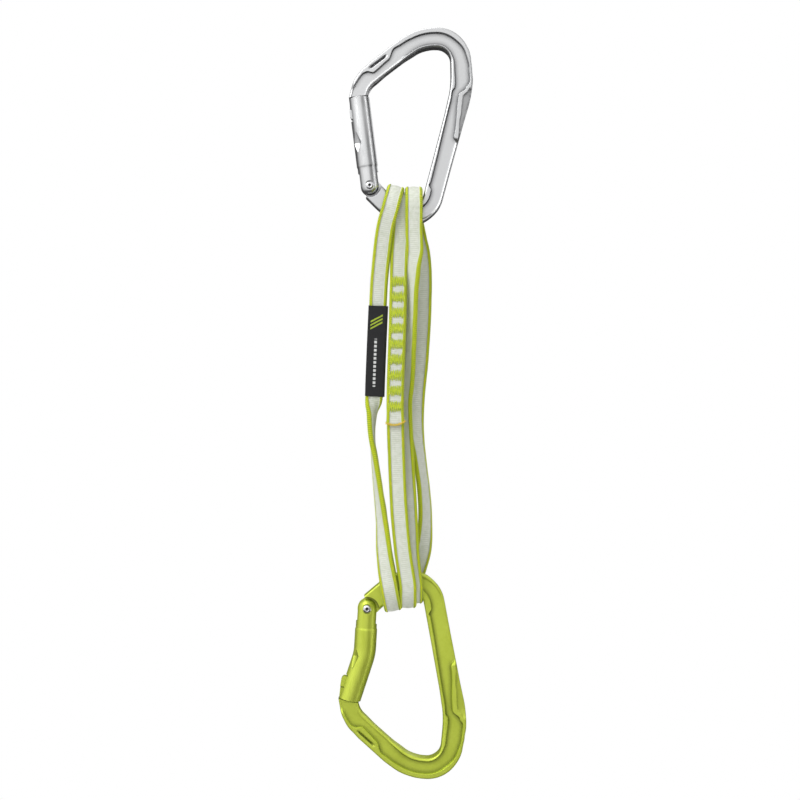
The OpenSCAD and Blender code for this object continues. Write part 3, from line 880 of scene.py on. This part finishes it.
def webbing_look():
    """Pale woven face with crosswise picks, and neon edges braided in dots, with painted shade between the
    picks and between the edge beads.
    """
    look = Look("webbing_weave")
    uv = look.node("UVMap", 0, uv_map="Cloth")
    u = look.node("SeparateXYZ", "X", {0: uv})
    v = u.node.outputs["Y"]
    off = look.math("ABSOLUTE", look.math("SUBTRACT", u, 0.5))
    fray = look.math("MULTIPLY", look.math("SUBTRACT", look.noise(1400.0, 2.0), 0.5), 0.03)
    edge = look.fit(look.math("ADD", off, fray), 0.315, 0.34)
    turn = look.math("MULTIPLY", v, 2 * math.pi)
    # The weave's crosswise picks, with painted shade in the grooves between them.
    picks_and_gap_shade = look.fit(look.math("SINE", turn), -1.0, 0.4)
    warp = look.math("SINE", look.math("MULTIPLY", u, 2 * math.pi * 17))
    zig = look.math("SINE", look.math("MULTIPLY_ADD", v, 4 * math.pi, look.math("MULTIPLY", warp, 1.1)))
    soil = look.fit(look.noise(700.0, 5.0, 0.75), 0.42, 0.68)
    face = look.mix(picks_and_gap_shade, (0.60, 0.63, 0.54), (0.76, 0.78, 0.70))
    face = look.mix(look.math("MULTIPLY", soil, 0.55), face, (0.44, 0.49, 0.33))
    face = look.mix(look.fit(zig, -1.0, 1.0, 0.0, 0.14), face, (0.86, 0.88, 0.82))
    # The edges' braided dots, with painted shade in the gaps between the beads.
    dot_turn = look.math("MULTIPLY_ADD", off, 44.0, turn)
    bead_dots_and_gap_shade = look.fit(look.math("SINE", dot_turn), -0.9, 0.5)
    neon = look.mix(bead_dots_and_gap_shade, (0.13, 0.24, 0.010), (0.66, 0.73, 0.018))
    spark = look.fit(look.noise(1100.0, 2.0), 0.58, 0.7)
    neon = look.mix(look.math("MULTIPLY", spark, 0.6), neon, (0.80, 0.62, 0.02))
    tone = look.mix(edge, face, neon)
    fuzz = look.noise(5200.0, 3.0, 0.7)
    height = look.math("MULTIPLY_ADD", warp, 0.35, look.math("MULTIPLY_ADD", zig, 0.5, fuzz))
    return look.set(Base_Color=tone, Roughness=0.82, Sheen_Weight=0.25, Sheen_Roughness=0.5,
                    Specular_IOR_Level=0.25, Normal=look.bump(height, 0.00006, 0.8))


def thread_look(name, dark, light, glow):
    look = Look(name)
    at = look.stretched(1.0, 1.0, 0.35)
    strand_tone = look.fit(look.noise(2600.0, 3.0, 0.6, at), 0.3, 0.7)
    tone = look.mix(strand_tone, dark, light)
    tone = look.mix(look.fit(look.noise(500.0, 2.0), 0.55, 0.75, 0.0, 0.5), tone, glow)
    twist = look.noise(6000.0, 2.0, 0.5, look.stretched(1.0, 1.0, 0.5))
    return look.set(Base_Color=tone, Roughness=0.6, Sheen_Weight=0.3, Specular_IOR_Level=0.35,
                    Normal=look.bump(twist, 0.00008, 0.7))


def label_look():
    """Black woven tape with three plain lime bars and a pale dashed line."""
    look = Look("label_weave")
    uv = look.node("UVMap", 0, uv_map="Cloth")
    u = look.node("SeparateXYZ", "X", {0: uv})
    v = u.node.outputs["Y"]
    ribs = look.math("SINE", look.math("MULTIPLY", v, 2 * math.pi * 95))
    threads = look.math("SINE", look.math("MULTIPLY", u, 2 * math.pi * 24))
    base = look.mix(look.fit(ribs, -1.0, 1.0), (0.006, 0.006, 0.007), (0.022, 0.022, 0.024))
    ragged = look.math("MULTIPLY", look.math("SUBTRACT", look.noise(1500.0, 2.0), 0.5), 0.010)
    slant = look.math("ADD", look.math("MULTIPLY_ADD", u, 0.11, v), ragged)
    bars = look.math("PINGPONG", look.math("SUBTRACT", slant, 0.195), 0.019)
    bar = look.math("LESS_THAN", bars, 0.0095)
    inside = look.math("MULTIPLY", look.math("GREATER_THAN", slant, 0.176),
                       look.math("LESS_THAN", slant, 0.291))
    across = look.math("MULTIPLY", look.math("GREATER_THAN", u, 0.16), look.math("LESS_THAN", u, 0.84))
    lime = look.math("MULTIPLY", look.math("MULTIPLY", bar, inside), across)
    tone = look.mix(lime, base, (0.36, 0.47, 0.03))
    middle = look.math("LESS_THAN", look.math("ABSOLUTE", look.math("SUBTRACT", u, 0.5)), 0.075)
    dash = look.math("LESS_THAN", look.math("PINGPONG", v, 0.022), 0.014)
    span = look.math("MULTIPLY", look.math("GREATER_THAN", v, 0.36), look.math("LESS_THAN", v, 0.88))
    pale = look.math("MULTIPLY", look.math("MULTIPLY", middle, dash), span)
    tone = look.mix(pale, tone, (0.62, 0.63, 0.62))
    height = look.math("MULTIPLY_ADD", ribs, 0.6, look.math("MULTIPLY", threads, 0.5))
    return look.set(Base_Color=tone, Roughness=0.7, Sheen_Weight=0.2, Specular_IOR_Level=0.3,
                    Normal=look.bump(height, 0.00007, 0.7))


# The first colour of each metal is the painted shade colour for its hollows.
SILVER = metal("satin_silver", (0.035, 0.035, 0.04), (0.56, 0.565, 0.57), (0.65, 0.655, 0.66),
               (0.86, 0.86, 0.86), 0.27, 5200.0)
SILVER_ROD = metal("turned_silver", (0.06, 0.06, 0.065), (0.58, 0.585, 0.59), (0.72, 0.725, 0.73),
                   (0.90, 0.90, 0.90), 0.24, 3600.0, (1.0, 1.0, 0.05))
LIME = metal("lime_anodised", (0.08, 0.10, 0.006), (0.56, 0.66, 0.060), (0.64, 0.74, 0.090),
             (0.78, 0.84, 0.36), 0.36, 5200.0, coat=0.2, metallic=0.62)
LIME_ROD = metal("lime_anodised_rod", (0.09, 0.11, 0.008), (0.56, 0.66, 0.060), (0.66, 0.76, 0.10),
                 (0.78, 0.84, 0.36), 0.32, 3600.0, (1.0, 1.0, 0.05), coat=0.25, metallic=0.66)
STEEL = metal("bright_steel", (0.10, 0.10, 0.11), (0.72, 0.72, 0.74), (0.88, 0.88, 0.90),
              (0.97, 0.97, 0.97), 0.14, 6500.0)
SPRING_STEEL = metal("spring_steel", (0.05, 0.05, 0.05), (0.30, 0.30, 0.31), (0.48, 0.48, 0.50),
                     (0.7, 0.7, 0.7), 0.25, 9000.0)
WEBBING = webbing_look()
TACK_THREAD = thread_look("tack_thread", (0.30, 0.42, 0.02), (0.66, 0.74, 0.03), (0.78, 0.80, 0.10))
LAP_THREAD = thread_look("lap_thread", (0.62, 0.42, 0.02), (0.86, 0.62, 0.05), (0.70, 0.72, 0.10))
LABEL = label_look()


# ---- the object ------------------------------------------------------------------------------------
make_frame("upper_frame_forged", "upper_frame", HANG_UPPER, "upper_carabiner", SILVER)
make_frame("lower_frame_forged", "lower_frame", HANG_LOWER, "lower_carabiner", LIME)
make_gate("upper_gate_rod", "upper_gate", 0, HANG_UPPER, "upper_gate_arm", SILVER_ROD)
make_gate("lower_gate_rod", "lower_gate", GATE_BEND, HANG_LOWER, "lower_gate_arm",
          LIME_ROD)
make_rivet("upper_rivet_peened", "upper_rivet", HANG_UPPER, "upper_gate_arm", STEEL)
make_rivet("lower_rivet_peened", "lower_rivet", HANG_LOWER, "lower_gate_arm", STEEL)
for node in ("upper_gate_spring", "lower_gate_spring", "upper_plunger", "lower_plunger"):
    steel = SPRING_STEEL if "spring" in node else STEEL
    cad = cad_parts[node]
    cad.data.materials.clear()
    cad.data.materials.append(steel)

left_front = strand(FRONT_LEFT, DOWN_LEFT, DOWN_RIGHT)
left_back = strand(BACK_LEFT, DOWN_LEFT, DOWN_RIGHT)
left_rows = np.vstack([
    left_front, bight(LOW_BIGHTS[0], LEFT_Y, -LOW_TILT, -1, 1), left_back[::-1],
    bight(TOP_BIGHTS[0], LEFT_Y, TOP_TILT, 1, 1)[::-1],
])
right_front = strand(FRONT_RIGHT, DOWN, DOWN)
right_back = strand(BACK_RIGHT, DOWN, DOWN)
right_rows = np.vstack([
    right_front, bight(LOW_BIGHTS[2], INNER_Y, 0, -1, 1), right_back[::-1],
    bight(TOP_BIGHTS[2], OUTER_Y, 0, 1, 1)[::-1],
])
middle_rows = np.vstack([
    strand(FRONT_TAIL, DOWN, DOWN)[::-1], bight(TOP_BIGHTS[1], INNER_Y, 0, 1, 1),
    strand(BACK_MIDDLE, DOWN, DOWN), bight(LOW_BIGHTS[1], OUTER_Y, 0, -1, 1)[::-1],
    strand(BACK_TAIL, DOWN, DOWN)[::-1],
])
make_ribbon("sling_loop_left", left_rows, True, 3,
            ("upper_bight_left", "lower_bight_left", "front_strand_left", "back_strand_left"), WEBBING)
make_ribbon("sling_loop_right", right_rows, True, 13,
            ("upper_bight_right", "lower_bight_right", "front_strand_right", "back_strand_right"), WEBBING)
make_ribbon("sling_spliced_turn", middle_rows, False, 23,
            ("upper_bight_middle", "lower_bight_middle", "splice_front_tail", "splice_back_tail",
             "back_strand_middle"), WEBBING, flare_start=True)
make_tacks(TACK_THREAD)
make_lap_end(LAP_THREAD)
make_label(left_front, LABEL)


# ---- stage, light and camera -------------------------------------------------------------------------
def stage_look():
    look = Look("pale_paper")
    tone = look.mix(look.noise(6.0, 2.0), (0.93, 0.93, 0.93), (0.96, 0.96, 0.96))
    # Pale to the camera. In reflections it is dark, so that the metal doesn't mirror a white floor.
    mirrored = look.node("LightPath", "Is Glossy Ray")
    return look.set(Base_Color=look.mix(mirrored, tone, (0.08, 0.08, 0.08)), Roughness=0.9)


FLOOR_Z, FLOOR_R = -0.9, 1.9
rim_points = [(FLOOR_R * math.cos(a), FLOOR_R * math.sin(a), FLOOR_Z)
              for a in np.linspace(0, 2 * math.pi, 96, endpoint=False)]
floor = mesh_object("floor", rim_points, [tuple(range(96))], 1)
floor.data.materials.append(stage_look())


def softbox(name, place, target, size, power, tall=None):
    data = bpy.data.lights.new(name, "AREA")
    data.shape = "RECTANGLE"
    data.size = size
    data.size_y = tall or size
    data.energy = power
    lamp = bpy.data.objects.new(name, data)
    lamp.location = place
    lamp.rotation_euler = (Vector(target) - Vector(place)).to_track_quat("-Z", "Y").to_euler()
    bpy.context.collection.objects.link(lamp)


middle_at = (-0.016, 0, -0.16)
softbox("key", (-0.8, -0.8, 0.6), middle_at, 0.7, 7.0)
softbox("front", (-0.1, -1.3, 0.1), middle_at, 0.9, 1.2, 0.9)
softbox("top", (-0.2, 0.1, 0.9), middle_at, 0.7, 4)
softbox("back", (0.5, 0.9, 0.3), middle_at, 0.8, 2)
softbox("right_strip", (0.95, -0.33, -0.1), middle_at, 0.22, 2.2, 1.6)


def make_world():
    """White to the camera. The room that lights the object is bright above and on the left, and dark
    below, behind and on a panel at the front right."""
    world = bpy.data.worlds.new("studio")
    bpy.context.scene.world = world
    world.use_nodes = True
    tree = world.node_tree
    background = tree.nodes["Background"]

    def node(kind, inputs, operation=None):
        made = tree.nodes.new("ShaderNode" + kind)
        if operation:
            made.operation = operation
        for key, value in inputs.items():
            if isinstance(value, bpy.types.NodeSocket):
                tree.links.new(value, made.inputs[key])
            else:
                made.inputs[key].default_value = value
        return made.outputs

    def ramp(towards, start, end, at_start, at_end):
        """Brightness by how far a direction points towards one vector."""
        share = node("VectorMath", {0: way, 1: towards}, "DOT_PRODUCT")["Value"]
        return node("MapRange", {"Value": share, "From Min": start, "From Max": end,
                                 "To Min": at_start, "To Max": at_end})[0]

    def times(a, b):
        return node("Math", {0: a, 1: b}, "MULTIPLY")[0]

    way = node("TexCoord", {})["Generated"]
    room = ramp((-0.5, -0.15, 0.85), -0.6, 0.6, 0.03, 1.0)
    panel = ramp((0.62, -0.78, -0.05), 0.92, 0.985, 1.0, 0.25)
    behind = ramp((0.0, 1.0, 0.0), -0.1, 0.35, 1.0, 0.1)
    lit = times(times(room, panel), behind)
    seen = node("LightPath", {})["Is Camera Ray"]
    paper = node("Mix", {0: seen, 2: lit, 3: 1.0})[0]
    tree.links.new(paper, background.inputs["Color"])
    background.inputs["Strength"].default_value = 1.0


make_world()

camera = bpy.data.objects.new("camera", bpy.data.cameras.new("camera"))
camera.location = (-0.0158, -0.75, -0.1634)
camera.rotation_euler = (math.radians(90), 0, 0)
camera.data.lens = 72.6
camera.data.sensor_width = 36
camera.data.clip_start = 0.01
bpy.context.collection.objects.link(camera)
bpy.context.scene.camera = camera
bpy.context.scene.view_settings.view_transform = "Standard"
